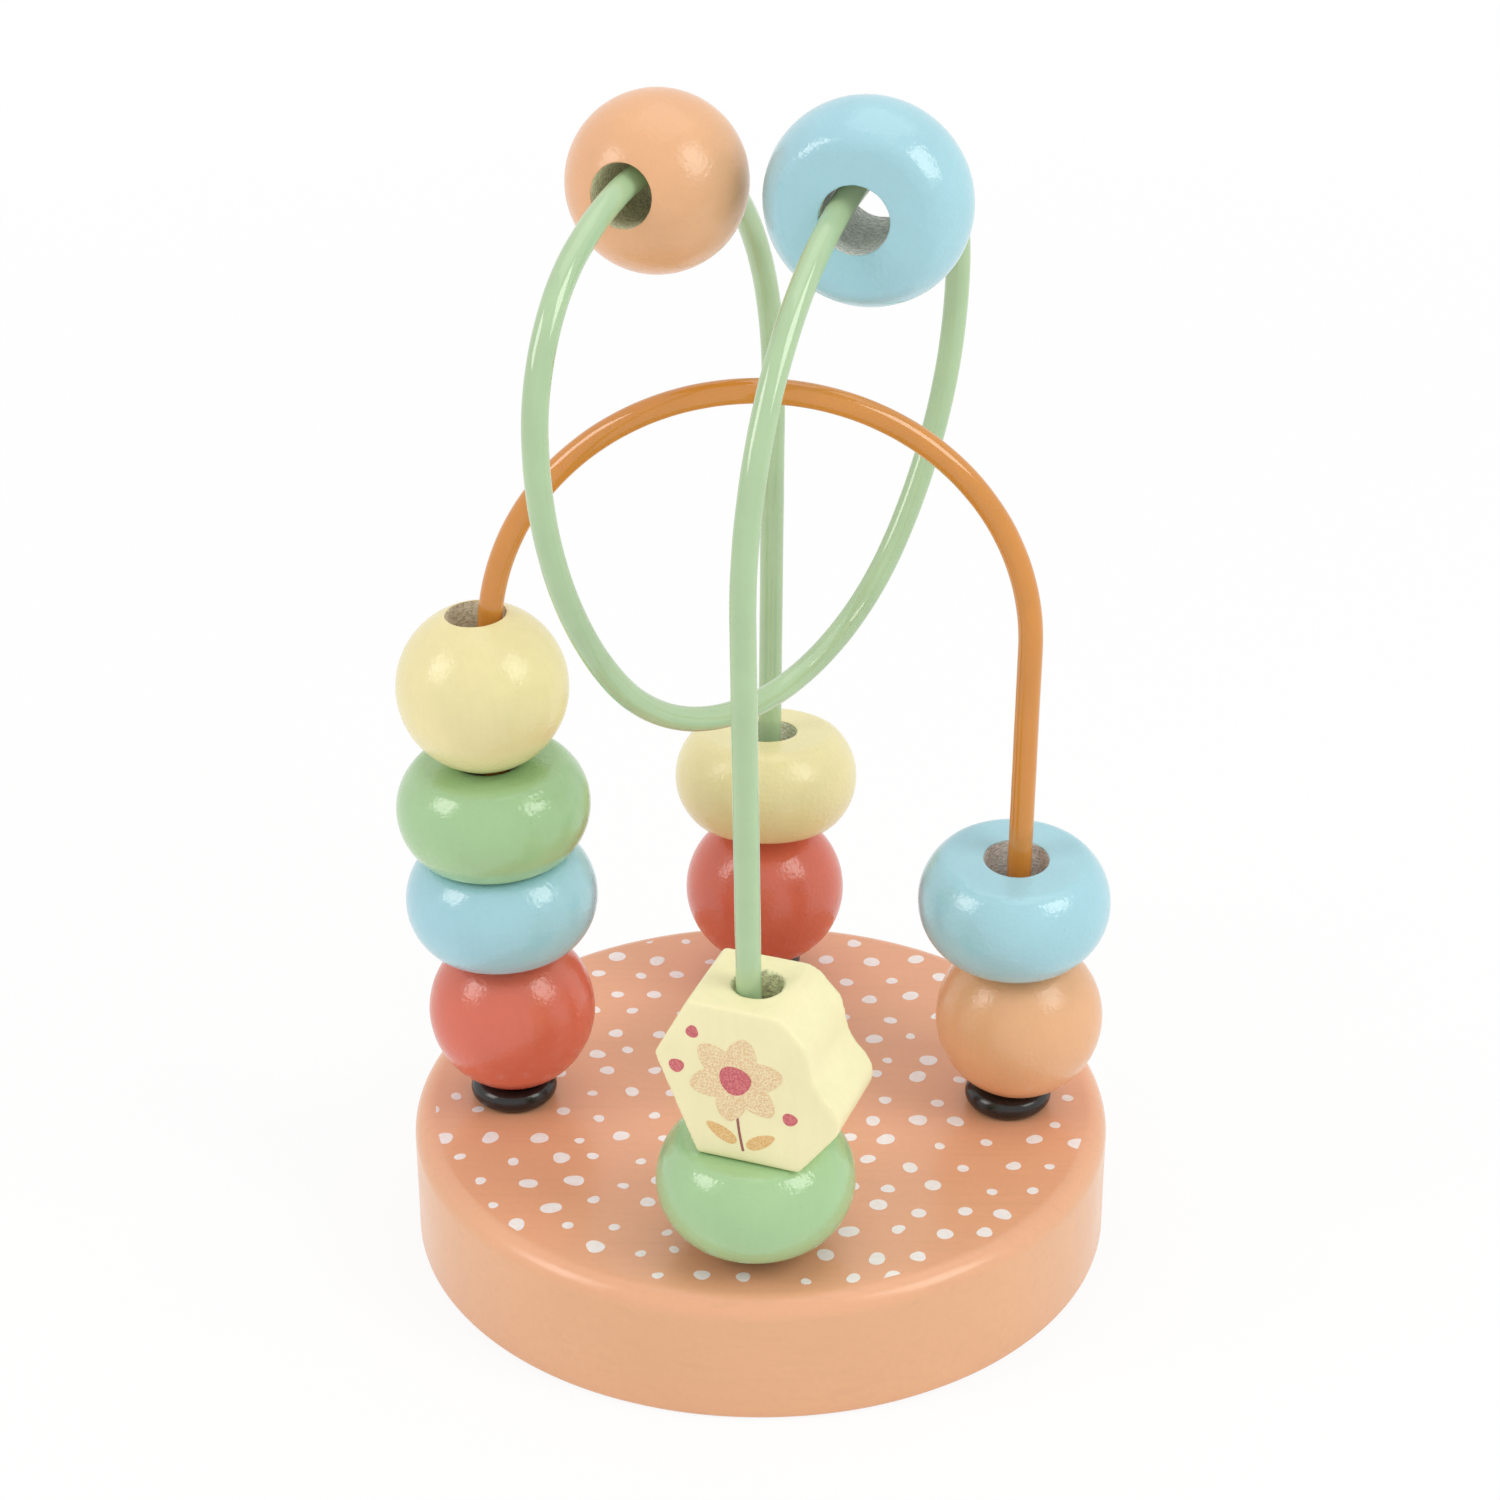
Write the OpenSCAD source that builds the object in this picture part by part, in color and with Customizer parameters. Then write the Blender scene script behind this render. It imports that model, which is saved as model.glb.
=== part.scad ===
// Bead maze: a round base, two bent wires on four grommets, and twelve loose beads.
// Units are millimetres. +Z is up, the origin is the centre of the underside, -Y is the front.

/* [Base] */
// Base thickness
base_t = 20; // [16:0.5:30]
// Rounding of the top edge
base_edge = 3.2; // [1:0.1:5]
// Distance from the base edge in to the loop wire's feet
foot_inset = 14.5; // [12:0.5:20]
// Wood left under the wire ends
floor_t = 4; // [2:0.5:6]

/* [Wires] */
// Wire thickness
wire_d = 3.6; // [3:0.1:4.2]
// Outward lean of the arch wire's legs, in degrees
arch_lean = 0.7; // [0:0.1:1.5]
// Outward lean of the loop wire's legs, in degrees
loop_lean = 1.5; // [0:0.1:2]
// Distance between the arch wire's feet
arch_span = 75; // [70:1:80]
// How far the top ball on the left reaches above the arch wire's straight leg
ball_over = 4.5; // [0:0.5:5]
// Distance between the loop wire's feet
loop_span = 76; // [72:1:86]
// Straight leg of the loop wire above the base
loop_leg = 99.5; // [90:0.5:110]
// Radius on the wide side of a bow
bow_r1 = 46.5; // [42:0.5:52]
// Angle of the wide side, in degrees
bow_a1 = 116; // [105:1:125]
// Radius on the tight side of a bow
bow_r2 = 23; // [18:0.5:28]
// Radius in the upper part of the swing between the bows
swing_r1 = 65; // [50:1:75]
// Angle of that upper part, in degrees
swing_a1 = 38; // [30:1:42]

/* [Grommets] */
// Flange diameter at the arch wire's feet
grommet_d = 13; // [12:0.5:16]
// Flange diameter at the loop wire's feet
loop_ring_d = 10.5; // [10:0.5:13]
// Flange height
grommet_h = 3.5; // [2:0.1:4]
// Sleeve length in the base
sleeve_len = 5; // [4:0.5:7]
// Wall around the wire in the sleeve
sleeve_wall = 1.5; // [1:0.1:2]

/* [Beads] */
// Diameter of the balls
ball_d = 25; // [22:0.5:26]
// Diameter of the disc beads
disc_d = 28.5; // [25:0.5:29]
// Thickness of the disc beads
disc_t = 15; // [13:0.5:17]
// Radius of the bulging rim of a disc bead
disc_rim = 9.5; // [9:0.1:11]
// Radius where the rim meets the flat face
disc_edge = 3; // [2:0.1:4]
// Bore of the balls
ball_bore = 8.8; // [8:0.1:10]
// Bore of the discs
bore_d = 9.6; // [8.6:0.1:10]
// Width of the bird bead, beak to tail
bird_w = 27; // [24:0.5:30]
// Height of the bird bead
bird_h = 25; // [20:0.5:28]
// Thickness of the bird bead
bird_t = 15; // [12:0.5:18]
// Bore of the bird bead
bird_bore = 7; // [6:0.1:8]

/* [Resting places] */
// Share of the bore play by which stacked beads stand off centre
stand_off = 0.4; // [0:0.05:0.5]
// Share of the bore play by which the left stack stands inwards at its foot
left_in = 0.35; // [0:0.05:0.6]
// Share of the bore play by which it leans outwards at its top
left_out = 0.7; // [0:0.05:0.8]
// Tilt of the blue disc bead on the right, in degrees
tilt_right = 5; // [0:0.5:6]
// Tilt of the yellow disc bead at the rear, in degrees
tilt_rear = 5; // [0:0.5:6]
// Share of its bore play by which the bird bead stands back from its wire
bird_off = 0.45; // [0:0.05:0.6]
// Share of its bore play by which the bird bead stands to the side of its wire
bird_aside = 0.75; // [0:0.05:0.75]
// Turn of the bird bead about its wire, in degrees
bird_turn = -19; // [-30:1:0]
// Place of the ball on its bow, in degrees up from the leg
ball_at = 82; // [80:1:95]
// Place of the disc bead on its bow, in degrees up from the leg
disc_at = 80; // [75:1:90]
// Tilt of that disc bead against the wire, in degrees
disc_tip = 9; // [0:1:14]
// Turn of that disc bead to the side, in degrees
disc_yaw = -7; // [-8:0.5:0]
// Share of the bore play by which the ball hangs below its wire
ball_hang = 0.88; // [0.7:0.02:0.9]
// Share of the bore play by which the disc bead hangs below its wire
disc_hang = 0.65; // [0.1:0.05:0.7]
// Share of the bore play by which the disc bead stands to the side of its wire
disc_aside = 0.55; // [0.4:0.05:0.6]

/* [Clearances] */
// Gap between stacked pieces
stack_gap = 0.2; // [0.1:0.05:0.3]
// Gap around the wires and sleeves in their holes
fit_gap = 0.1; // [0.05:0.05:0.2]
// Gap between the two beads on top
top_gap = 0.8; // [0.5:0.1:3]

/* [Hidden] */
$fn = 96;

base_r = loop_span / 2 + foot_inset;
arch_x = arch_span / 2;
loop_y = loop_span / 2;
wire_in = base_t - floor_t;
sleeve_in_r = wire_d / 2 + fit_gap + sleeve_len * tan(max(arch_lean, loop_lean));
sleeve_r = sleeve_in_r + sleeve_wall;
round_r = grommet_h / 2;
wire_step = 0.02;
wire_lap = 0.4;

// Bead lengths along the wire, and the play of a bead on its wire
ball_len = 2 * sqrt(pow(ball_d / 2, 2) - pow(ball_bore / 2, 2));
play = (bore_d - wire_d) / 2;
ball_play = (ball_bore - wire_d) / 2;
bird_play = (bird_bore - wire_d) / 2;
left_play = min(play, ball_play);
shift = stand_off * left_play;

// Heights of the bead centres above the base, measured along the leg
low_ball = grommet_h + stack_gap + ball_len / 2;
low_disc = grommet_h + stack_gap + disc_t / 2;
disc_on_ball = low_ball + ball_len / 2 + stack_gap + disc_t / 2;
disc_on_disc = disc_on_ball + disc_t + stack_gap;
ball_on_disc = disc_on_disc + disc_t / 2 + stack_gap + ball_len / 2;
left_top = ball_on_disc + ball_len / 2;
right_lift = bore_d / 2 * tan(tilt_right);
rear_lift = bore_d / 2 * tan(tilt_rear);
bird_foot = low_disc + disc_t / 2 + stack_gap;
left_lean = arch_lean + atan((left_in + left_out) * left_play / left_top);
left_lift = ball_bore / 2 * tan(left_lean);

// Arch wire
arch_leg = left_top - ball_over;
arch_r = (arch_x + arch_leg * sin(arch_lean)) / cos(arch_lean);

// Loop wire: the bows stand far enough apart for the two beads on top
bow_turn = asin(((ball_d + disc_d) / 2 + top_gap) / loop_span);
bow_y = bow_r1 * cos(loop_lean) - loop_leg * sin(loop_lean);
bow_z = bow_r1 * sin(loop_lean) + loop_leg * cos(loop_lean);
bow_end = bow_a1 - loop_lean;
reach = bow_y - bow_r1 * cos(bow_end) + bow_r2 * (1 + cos(bow_end));
swing_side = loop_y * sin(bow_turn);
swing_back = reach - loop_y * cos(bow_turn);
swing_turn = atan2(swing_side, swing_back);
swing_in = norm([swing_side, swing_back]);
swing_r2 = (swing_in - swing_r1 * (1 - cos(swing_a1))) / cos(swing_a1);

// Places on the wires
module at_left(h) {
    translate([left_in * left_play - arch_x, 0, base_t]) rotate([0, -left_lean, 0])
        translate([0, 0, h + left_lift]) children();
}

module at_right(h, x) {
    translate([arch_x, 0, base_t]) rotate([0, arch_lean, 0]) translate([x, 0, h]) children();
}

module at_front_foot() {
    translate([0, -loop_y, base_t]) rotate([0, 0, -bow_turn]) children();
}

module at_front(h, x, y) {
    at_front_foot() rotate([loop_lean, 0, 0]) rotate([0, 0, bow_turn]) translate([x, y, h]) children();
}

module at_rear(h, x, y) {
    rotate([0, 0, 180]) at_front(h, x, y) children();
}

module on_bow(a, drop) {
    at_front_foot()
        translate([0, bow_y, bow_z]) rotate([-a, 0, 0]) translate([0, drop - bow_r1, 0])
            children();
}

// Wire pieces: each draws itself along +Z and puts what follows on its end
module straight(l) {
    cylinder(h = l, d = wire_d);
    translate([0, 0, l]) children();
}

module bend(r, a, d = wire_d, lap = 0) {
    more = lap / r * 180 / PI;
    translate([0, r, 0]) {
        rotate([90, 0, -90]) rotate([0, 0, -more])
            rotate_extrude(angle = a + 2 * more) translate([r, 0]) circle(d = d);
        rotate([-a, 0, 0]) translate([0, -r, 0]) children();
    }
}

// A bend a hair slimmer than the wire, with both ends inside its neighbours, so that the pieces join
module inner_bend(r, a) {
    bend(r, a, wire_d - 2 * wire_step, wire_lap) children();
}

// Bead and grommet shapes
module ball_shape() {
    rotate_extrude() difference() {
        intersection() {
            circle(d = ball_d);
            translate([0, -ball_d]) square(2 * ball_d);
        }
        translate([-ball_d, -ball_d]) square([ball_d + ball_bore / 2, 2 * ball_d]);
    }
}

module disc_shape() {
    rim_x = disc_d / 2 - disc_rim;
    edge_z = disc_t / 2 - disc_edge;
    edge_x = rim_x + sqrt(pow(disc_rim - disc_edge, 2) - pow(edge_z, 2));
    far = 3 * disc_rim / (disc_rim - disc_edge);
    rotate_extrude() difference() {
        union() {
            translate([0, -disc_t / 2]) square([edge_x, disc_t]);
            for (s = [-1, 1]) {
                translate([edge_x, s * edge_z]) circle(r = disc_edge);
            }
            intersection() {
                translate([rim_x, 0]) circle(r = disc_rim);
                polygon([[rim_x, 0], [rim_x + far * (edge_x - rim_x), -far * edge_z],
                    [rim_x + far * (edge_x - rim_x), far * edge_z]]);
            }
        }
        translate([-disc_d, -disc_d]) square([disc_d + bore_d / 2, 2 * disc_d]);
    }
}

module bird_outline() {
    w = bird_w;
    h = bird_h;
    difference() {
        union() {
            polygon([[-0.25 * w, 0], [0.31 * w, 0], [0.5 * w, 0.26 * h], [0.5 * w, 0.47 * h], [0.38 * w, 0.72 * h],
                [0.355 * w, 0.83 * h], [0.24 * w, 0.97 * h], [0.18 * w, h], [-0.285 * w, h],
                [-0.455 * w, 0.69 * h], [-0.45 * w, 0.53 * h]]);
            translate([-0.425 * w, 0.61 * h]) circle(r = 0.045 * w);
            translate([0.385 * w, 0.365 * h]) circle(r = 0.145 * w);
        }
        translate([0.68 * w, 0.735 * h]) circle(r = 0.3 * w);
    }
}

module grommet(d) {
    rotate_extrude() difference() {
        union() {
            translate([sleeve_in_r, 0]) square([d / 2 - round_r - sleeve_in_r, grommet_h]);
            translate([d / 2 - round_r, round_r]) circle(r = round_r);
            translate([sleeve_in_r, -sleeve_len]) square([sleeve_wall, sleeve_len + round_r]);
        }
        translate([0, -2 * sleeve_len]) square([sleeve_in_r, 2 * sleeve_len + 2 * grommet_h]);
    }
}

// Holes for one foot, drawn at the foot with the wire leaning to -Y
module foot_holes(lean) {
    translate([0, 0, -sleeve_len - fit_gap]) cylinder(h = 2 * sleeve_len, r = sleeve_r + fit_gap);
    rotate([lean, 0, 0]) translate([0, 0, -wire_in - fit_gap])
        cylinder(h = wire_in, r = wire_d / 2 + fit_gap);
}

// Sub-parts
module base() {
    color([0.95, 0.66, 0.49]) difference() {
        rotate_extrude() {
            square([base_r, base_t - base_edge]);
            square([base_r - base_edge, base_t]);
            translate([base_r - base_edge, base_t - base_edge]) circle(r = base_edge);
        }
        for (a = [-90, 90]) {
            rotate([0, 0, a]) translate([0, -arch_x, base_t]) foot_holes(arch_lean);
        }
        for (a = [0, 180]) {
            rotate([0, 0, a]) at_front_foot() foot_holes(loop_lean);
        }
    }
}

module arch_wire() {
    color([0.93, 0.55, 0.15])
        translate([-arch_x, 0, base_t]) rotate([0, 0, -90]) rotate([arch_lean, 0, 0])
            translate([0, 0, -wire_in]) straight(wire_in + arch_leg)
                inner_bend(arch_r, 180 + 2 * arch_lean) straight(arch_leg + wire_in);
}

module loop_wire() {
    color([0.66, 0.85, 0.69])
        for (a = [0, 180]) {
            rotate([0, 0, a]) at_front_foot() rotate([loop_lean, 0, 0])
                translate([0, 0, -wire_in]) straight(wire_in + loop_leg)
                    inner_bend(bow_r1, bow_a1) bend(bow_r2, 180 + loop_lean - bow_a1)
                        rotate([0, 0, swing_turn]) inner_bend(swing_r1, swing_a1) {
                            if (a == 0) bend(swing_r2, 180 - 2 * swing_a1);
                        }
        }
}

module grommet_left() {
    color([0.06, 0.06, 0.06]) translate([-arch_x, 0, base_t]) grommet(grommet_d);
}

module grommet_right() {
    color([0.06, 0.06, 0.06]) translate([arch_x, 0, base_t]) grommet(grommet_d);
}

module grommet_front() {
    color([0.06, 0.06, 0.06]) translate([0, -loop_y, base_t]) grommet(loop_ring_d);
}

module grommet_rear() {
    color([0.06, 0.06, 0.06]) translate([0, loop_y, base_t]) grommet(loop_ring_d);
}

module ball_red_left() {
    color([0.9, 0.42, 0.33]) at_left(low_ball) ball_shape();
}

module disc_blue_left() {
    color([0.58, 0.82, 0.9]) at_left(disc_on_ball) disc_shape();
}

module disc_green_left() {
    color([0.6, 0.81, 0.58]) at_left(disc_on_disc) disc_shape();
}

module ball_yellow_left() {
    color([0.96, 0.9, 0.62]) at_left(ball_on_disc) ball_shape();
}

module ball_peach_right() {
    color([0.95, 0.68, 0.5]) at_right(low_ball, shift) ball_shape();
}

module disc_blue_right() {
    color([0.58, 0.82, 0.9])
        at_right(disc_on_ball + right_lift, -shift / 2) rotate([tilt_right, 0, 0]) disc_shape();
}

module ball_red_rear() {
    color([0.9, 0.38, 0.28]) at_rear(low_ball, shift / 2, shift) ball_shape();
}

module disc_yellow_rear() {
    color([0.96, 0.9, 0.62]) at_rear(disc_on_ball + rear_lift, shift / 2, shift)
        rotate([tilt_rear, 0, 0]) disc_shape();
}

module disc_green_front() {
    color([0.6, 0.82, 0.62]) at_front(low_disc, shift / 2, shift) disc_shape();
}

module bird_bead() {
    color([0.97, 0.93, 0.68]) at_front(bird_foot, bird_aside * bird_play, bird_off * bird_play)
            rotate([0, 0, bird_turn]) difference() {
        translate([0, bird_t / 2, 0]) rotate([90, 0, 0]) linear_extrude(bird_t) bird_outline();
        translate([0, 0, -bird_h / 2]) cylinder(h = 2 * bird_h, d = bird_bore);
    }
}

module ball_peach_top() {
    color([0.95, 0.68, 0.5]) rotate([0, 0, 180]) on_bow(ball_at, ball_hang * ball_play) ball_shape();
}

module disc_blue_top() {
    color([0.58, 0.82, 0.9]) on_bow(disc_at, disc_hang * play) translate([disc_aside * play, 0, 0])
        rotate([-disc_tip, 0, 0]) rotate([0, disc_yaw, 0]) disc_shape();
}

base();
arch_wire();
loop_wire();
grommet_left();
grommet_right();
grommet_front();
grommet_rear();
ball_red_left();
disc_blue_left();
disc_green_left();
ball_yellow_left();
ball_peach_right();
disc_blue_right();
ball_red_rear();
disc_yellow_rear();
disc_green_front();
bird_bead();
ball_peach_top();
disc_blue_top();
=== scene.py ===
"""Bead maze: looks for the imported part. Shapes are drawn in millimetres and placed in the part's frame in metres."""

import math
import random

import bpy
from mathutils import Matrix, Vector, noise


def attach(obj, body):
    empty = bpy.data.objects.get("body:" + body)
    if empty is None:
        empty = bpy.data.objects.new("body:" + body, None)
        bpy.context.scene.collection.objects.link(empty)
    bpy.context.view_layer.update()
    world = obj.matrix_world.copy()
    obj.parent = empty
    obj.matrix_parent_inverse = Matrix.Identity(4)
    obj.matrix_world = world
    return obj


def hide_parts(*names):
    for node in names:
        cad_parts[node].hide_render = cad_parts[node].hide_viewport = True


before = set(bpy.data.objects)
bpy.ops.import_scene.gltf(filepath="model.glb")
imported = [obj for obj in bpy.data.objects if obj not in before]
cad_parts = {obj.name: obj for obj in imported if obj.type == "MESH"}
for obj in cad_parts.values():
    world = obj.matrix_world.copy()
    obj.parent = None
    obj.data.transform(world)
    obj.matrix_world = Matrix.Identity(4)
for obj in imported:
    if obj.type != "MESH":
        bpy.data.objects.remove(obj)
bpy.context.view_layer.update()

MM = 0.001

# The part's own sizes, in millimetres and degrees, as its source has them
BASE_R, BASE_T, BASE_EDGE = 52.5, 20.0, 3.2
WIRE_R, WIRE_IN = 1.8, 16.0
ARCH_X, ARCH_LEAN, BALL_OVER = 37.5, 0.7, 4.5
LOOP_Y, LOOP_LEAN, LOOP_LEG = 38.0, 1.5, 99.5
BOW_R1, BOW_A1, BOW_R2 = 46.5, 116.0, 23.0
SWING_R1, SWING_A1 = 65.0, 38.0
GROMMET_R, LOOP_RING_R, GROMMET_H, SLEEVE_LEN, SLEEVE_WALL = 6.5, 5.25, 3.5, 5.0, 1.5
BALL_R, BALL_BORE = 12.5, 4.4
DISC_R, DISC_T, DISC_RIM, DISC_EDGE, DISC_BORE = 14.25, 15.0, 9.5, 3.0, 4.8
BIRD_W, BIRD_H, BIRD_T, BIRD_BORE = 27.0, 25.0, 15.0, 3.5
GAP, FIT, TOP_GAP = 0.2, 0.1, 0.8
STAND_OFF, LEFT_IN, LEFT_OUT, TILT = 0.4, 0.35, 0.7, 5.0
BIRD_OFF, BIRD_ASIDE, BIRD_TURN = 0.45, 0.75, -19.0
BALL_AT, DISC_AT, DISC_TIP, DISC_YAW = 82.0, 80.0, 9.0, -7.0
BALL_HANG, DISC_HANG, DISC_ASIDE = 0.88, 0.65, 0.55


def sind(a):
    return math.sin(math.radians(a))


def cosd(a):
    return math.cos(math.radians(a))


def tand(a):
    return math.tan(math.radians(a))


def shift(x, y, z):
    return Matrix.Translation((x, y, z))


def turn(axis, a):
    return Matrix.Rotation(math.radians(a), 4, axis)


# Places on the wires, the same way as the part's source finds them
BALL_LEN = 2 * math.sqrt(BALL_R**2 - BALL_BORE**2)
BALL_PLAY, DISC_PLAY, BIRD_PLAY = BALL_BORE - WIRE_R, DISC_BORE - WIRE_R, BIRD_BORE - WIRE_R
OFF = STAND_OFF * BALL_PLAY
LOW_BALL = GROMMET_H + GAP + BALL_LEN / 2
LOW_DISC = GROMMET_H + GAP + DISC_T / 2
DISC_ON_BALL = LOW_BALL + BALL_LEN / 2 + GAP + DISC_T / 2
DISC_ON_DISC = DISC_ON_BALL + DISC_T + GAP
BALL_ON_DISC = DISC_ON_DISC + DISC_T / 2 + GAP + BALL_LEN / 2
LEFT_TOP = BALL_ON_DISC + BALL_LEN / 2
LEFT_LEAN = ARCH_LEAN + math.degrees(math.atan((LEFT_IN + LEFT_OUT) * BALL_PLAY / LEFT_TOP))
LEFT_LIFT = BALL_BORE * tand(LEFT_LEAN)
ARCH_LEG = LEFT_TOP - BALL_OVER
ARCH_R = (ARCH_X + ARCH_LEG * sind(ARCH_LEAN)) / cosd(ARCH_LEAN)
LIFT = DISC_BORE * tand(TILT)
BIRD_FOOT = LOW_DISC + DISC_T / 2 + GAP
BOW_TURN = math.degrees(math.asin((BALL_R + DISC_R + TOP_GAP) / (2 * LOOP_Y)))
BOW_Y = BOW_R1 * cosd(LOOP_LEAN) - LOOP_LEG * sind(LOOP_LEAN)
BOW_Z = BOW_R1 * sind(LOOP_LEAN) + LOOP_LEG * cosd(LOOP_LEAN)
BOW_END = BOW_A1 - LOOP_LEAN
REACH = BOW_Y - BOW_R1 * cosd(BOW_END) + BOW_R2 * (1 + cosd(BOW_END))
SWING_SIDE = LOOP_Y * sind(BOW_TURN)
SWING_BACK = REACH - LOOP_Y * cosd(BOW_TURN)
SWING_TURN = math.degrees(math.atan2(SWING_SIDE, SWING_BACK))
SWING_R2 = (math.hypot(SWING_SIDE, SWING_BACK) - SWING_R1 * (1 - cosd(SWING_A1))) / cosd(SWING_A1)
FRONT_FOOT = shift(0, -LOOP_Y, BASE_T) @ turn("Z", -BOW_TURN)
HALF_TURN = turn("Z", 180)


def at_left(h):
    foot = shift(LEFT_IN * BALL_PLAY - ARCH_X, 0, BASE_T)
    return foot @ turn("Y", -LEFT_LEAN) @ shift(0, 0, h + LEFT_LIFT)


def at_right(h, x):
    return shift(ARCH_X, 0, BASE_T) @ turn("Y", ARCH_LEAN) @ shift(x, 0, h)


def at_front(h, x, y):
    return FRONT_FOOT @ turn("X", LOOP_LEAN) @ turn("Z", BOW_TURN) @ shift(x, y, h)


def on_bow(a, drop):
    return FRONT_FOOT @ shift(0, BOW_Y, BOW_Z) @ turn("X", -a) @ shift(0, drop - BOW_R1, 0)


# Camera at the photograph's angle
CAM_FOCAL, CAM_FAR, CAM_ELEV, CAM_ROLL, CAM_AZ = 86.4, 519.673, 27.999, -0.213, 1.893
CAM_X, CAM_Z = -1.417, 79.755


def make_camera():
    ahead = Vector((0, cosd(CAM_ELEV), -sind(CAM_ELEV)))
    level, above = Vector((1, 0, 0)), Vector((0, sind(CAM_ELEV), cosd(CAM_ELEV)))
    right = cosd(CAM_ROLL) * level + sind(CAM_ROLL) * above
    up = -sind(CAM_ROLL) * level + cosd(CAM_ROLL) * above
    eye = (Vector((CAM_X, 0, CAM_Z)) - CAM_FAR * ahead) * MM
    basis = Matrix((right, up, -ahead)).transposed().to_4x4()
    data = bpy.data.cameras.new("camera")
    data.sensor_width, data.lens = 36.0, CAM_FOCAL
    data.clip_start, data.clip_end = 0.01, 20.0
    cam = bpy.data.objects.new("camera", data)
    bpy.context.scene.collection.objects.link(cam)
    cam.matrix_world = turn("Z", CAM_AZ) @ Matrix.Translation(eye) @ basis
    bpy.context.scene.camera = cam


# Materials. Noise scales are in waves per millimetre, tones are factors on the paint's own colour.
TONE_LOW, TONE_HIGH, TONE_GRAIN, TONE_SPECK = 0.965, 1.03, 0.86, 0.35
BARE_ROUGH, BARE_DARK, BARE_PALE = 0.85, 0.62, 1.35
PEEL = 0.07


def srgb(r, g, b):
    def lin(c):
        c /= 255
        return c / 12.92 if c <= 0.04045 else ((c + 0.055) / 1.055) ** 2.4

    return (lin(r), lin(g), lin(b), 1.0)


def shade(c, k):
    return (min(c[0] * k, 1), min(c[1] * k, 1), min(c[2] * k, 1), 1.0)


class Nodes:
    """A node tree, with short ways to add nodes."""

    def __init__(self, tree):
        self.tree = tree

    def node(self, kind, inputs=None, **settings):
        n = self.tree.nodes.new(kind)
        for k, v in settings.items():
            setattr(n, k, v)
        for k, v in (inputs or {}).items():
            self.put(v, n.inputs[k])
        return n

    def put(self, value, socket):
        if isinstance(value, bpy.types.NodeSocket):
            self.tree.links.new(value, socket)
        else:
            socket.default_value = value

    def math(self, kind, a, b=0.0):
        return self.node("ShaderNodeMath", {0: a, 1: b}, operation=kind).outputs[0]

    def fit(self, value, low, high, to_low=0.0, to_high=1.0):
        n = self.node(
            "ShaderNodeMapRange",
            {"Value": value, "From Min": low, "From Max": high, "To Min": to_low, "To Max": to_high},
        )
        return n.outputs["Result"]

    def seen_directly(self):
        """1 for rays from the camera or a mirror-like surface, 0 for the light that falls on things."""
        rays = self.node("ShaderNodeLightPath").outputs
        seen = self.math("MAXIMUM", rays["Is Camera Ray"], rays["Is Glossy Ray"])
        return self.math("MAXIMUM", seen, rays["Is Transmission Ray"])


class Finish(Nodes):
    """The material of a piece, on the coordinates that its mesh carries."""

    def __init__(self, name):
        self.material = bpy.data.materials.new(name)
        self.material.use_nodes = True
        super().__init__(self.material.node_tree)
        self.shader = self.tree.nodes["Principled BSDF"]
        self.local = self.node("ShaderNodeAttribute", attribute_name="local").outputs["Vector"]

    def noise(self, scale, detail=2.0, rough=0.5, vector=None):
        n = self.node(
            "ShaderNodeTexNoise",
            {"Vector": vector or self.local, "Scale": scale, "Detail": detail, "Roughness": rough},
        )
        return n.outputs["Fac"]

    def stretched(self, x, y, z):
        return self.node("ShaderNodeMapping", {"Vector": self.local, "Scale": (x, y, z)}).outputs["Vector"]

    def blend(self, factor, a, b):
        return self.node("ShaderNodeMix", {0: factor, 6: a, 7: b}, data_type="RGBA").outputs[2]

    def between(self, factor, a, b):
        return self.node("ShaderNodeMix", {0: factor, 2: a, 3: b}, data_type="FLOAT").outputs[0]

    def specks(self, scale, size, share):
        """A mask of rare small spots: cells of 1/scale mm, spots of size mm, on this share of the cells."""
        n = self.node("ShaderNodeTexVoronoi", {"Vector": self.local, "Scale": scale})
        near = self.math("LESS_THAN", n.outputs["Distance"], size * scale)
        pick = self.node("ShaderNodeSeparateColor", {"Color": n.outputs["Color"]}).outputs[0]
        return self.math("MULTIPLY", near, self.math("LESS_THAN", pick, share))

    def bump(self, height, depth_mm):
        n = self.node("ShaderNodeBump", {"Strength": 1.0, "Distance": depth_mm * MM, "Height": height})
        self.put(n.outputs["Normal"], self.shader.inputs["Normal"])

    def done(self, colour, roughness, shine=0.5):
        self.put(colour, self.shader.inputs["Base Color"])
        self.put(roughness, self.shader.inputs["Roughness"])
        self.put(shine, self.shader.inputs["Specular IOR Level"])
        return self.material


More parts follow.
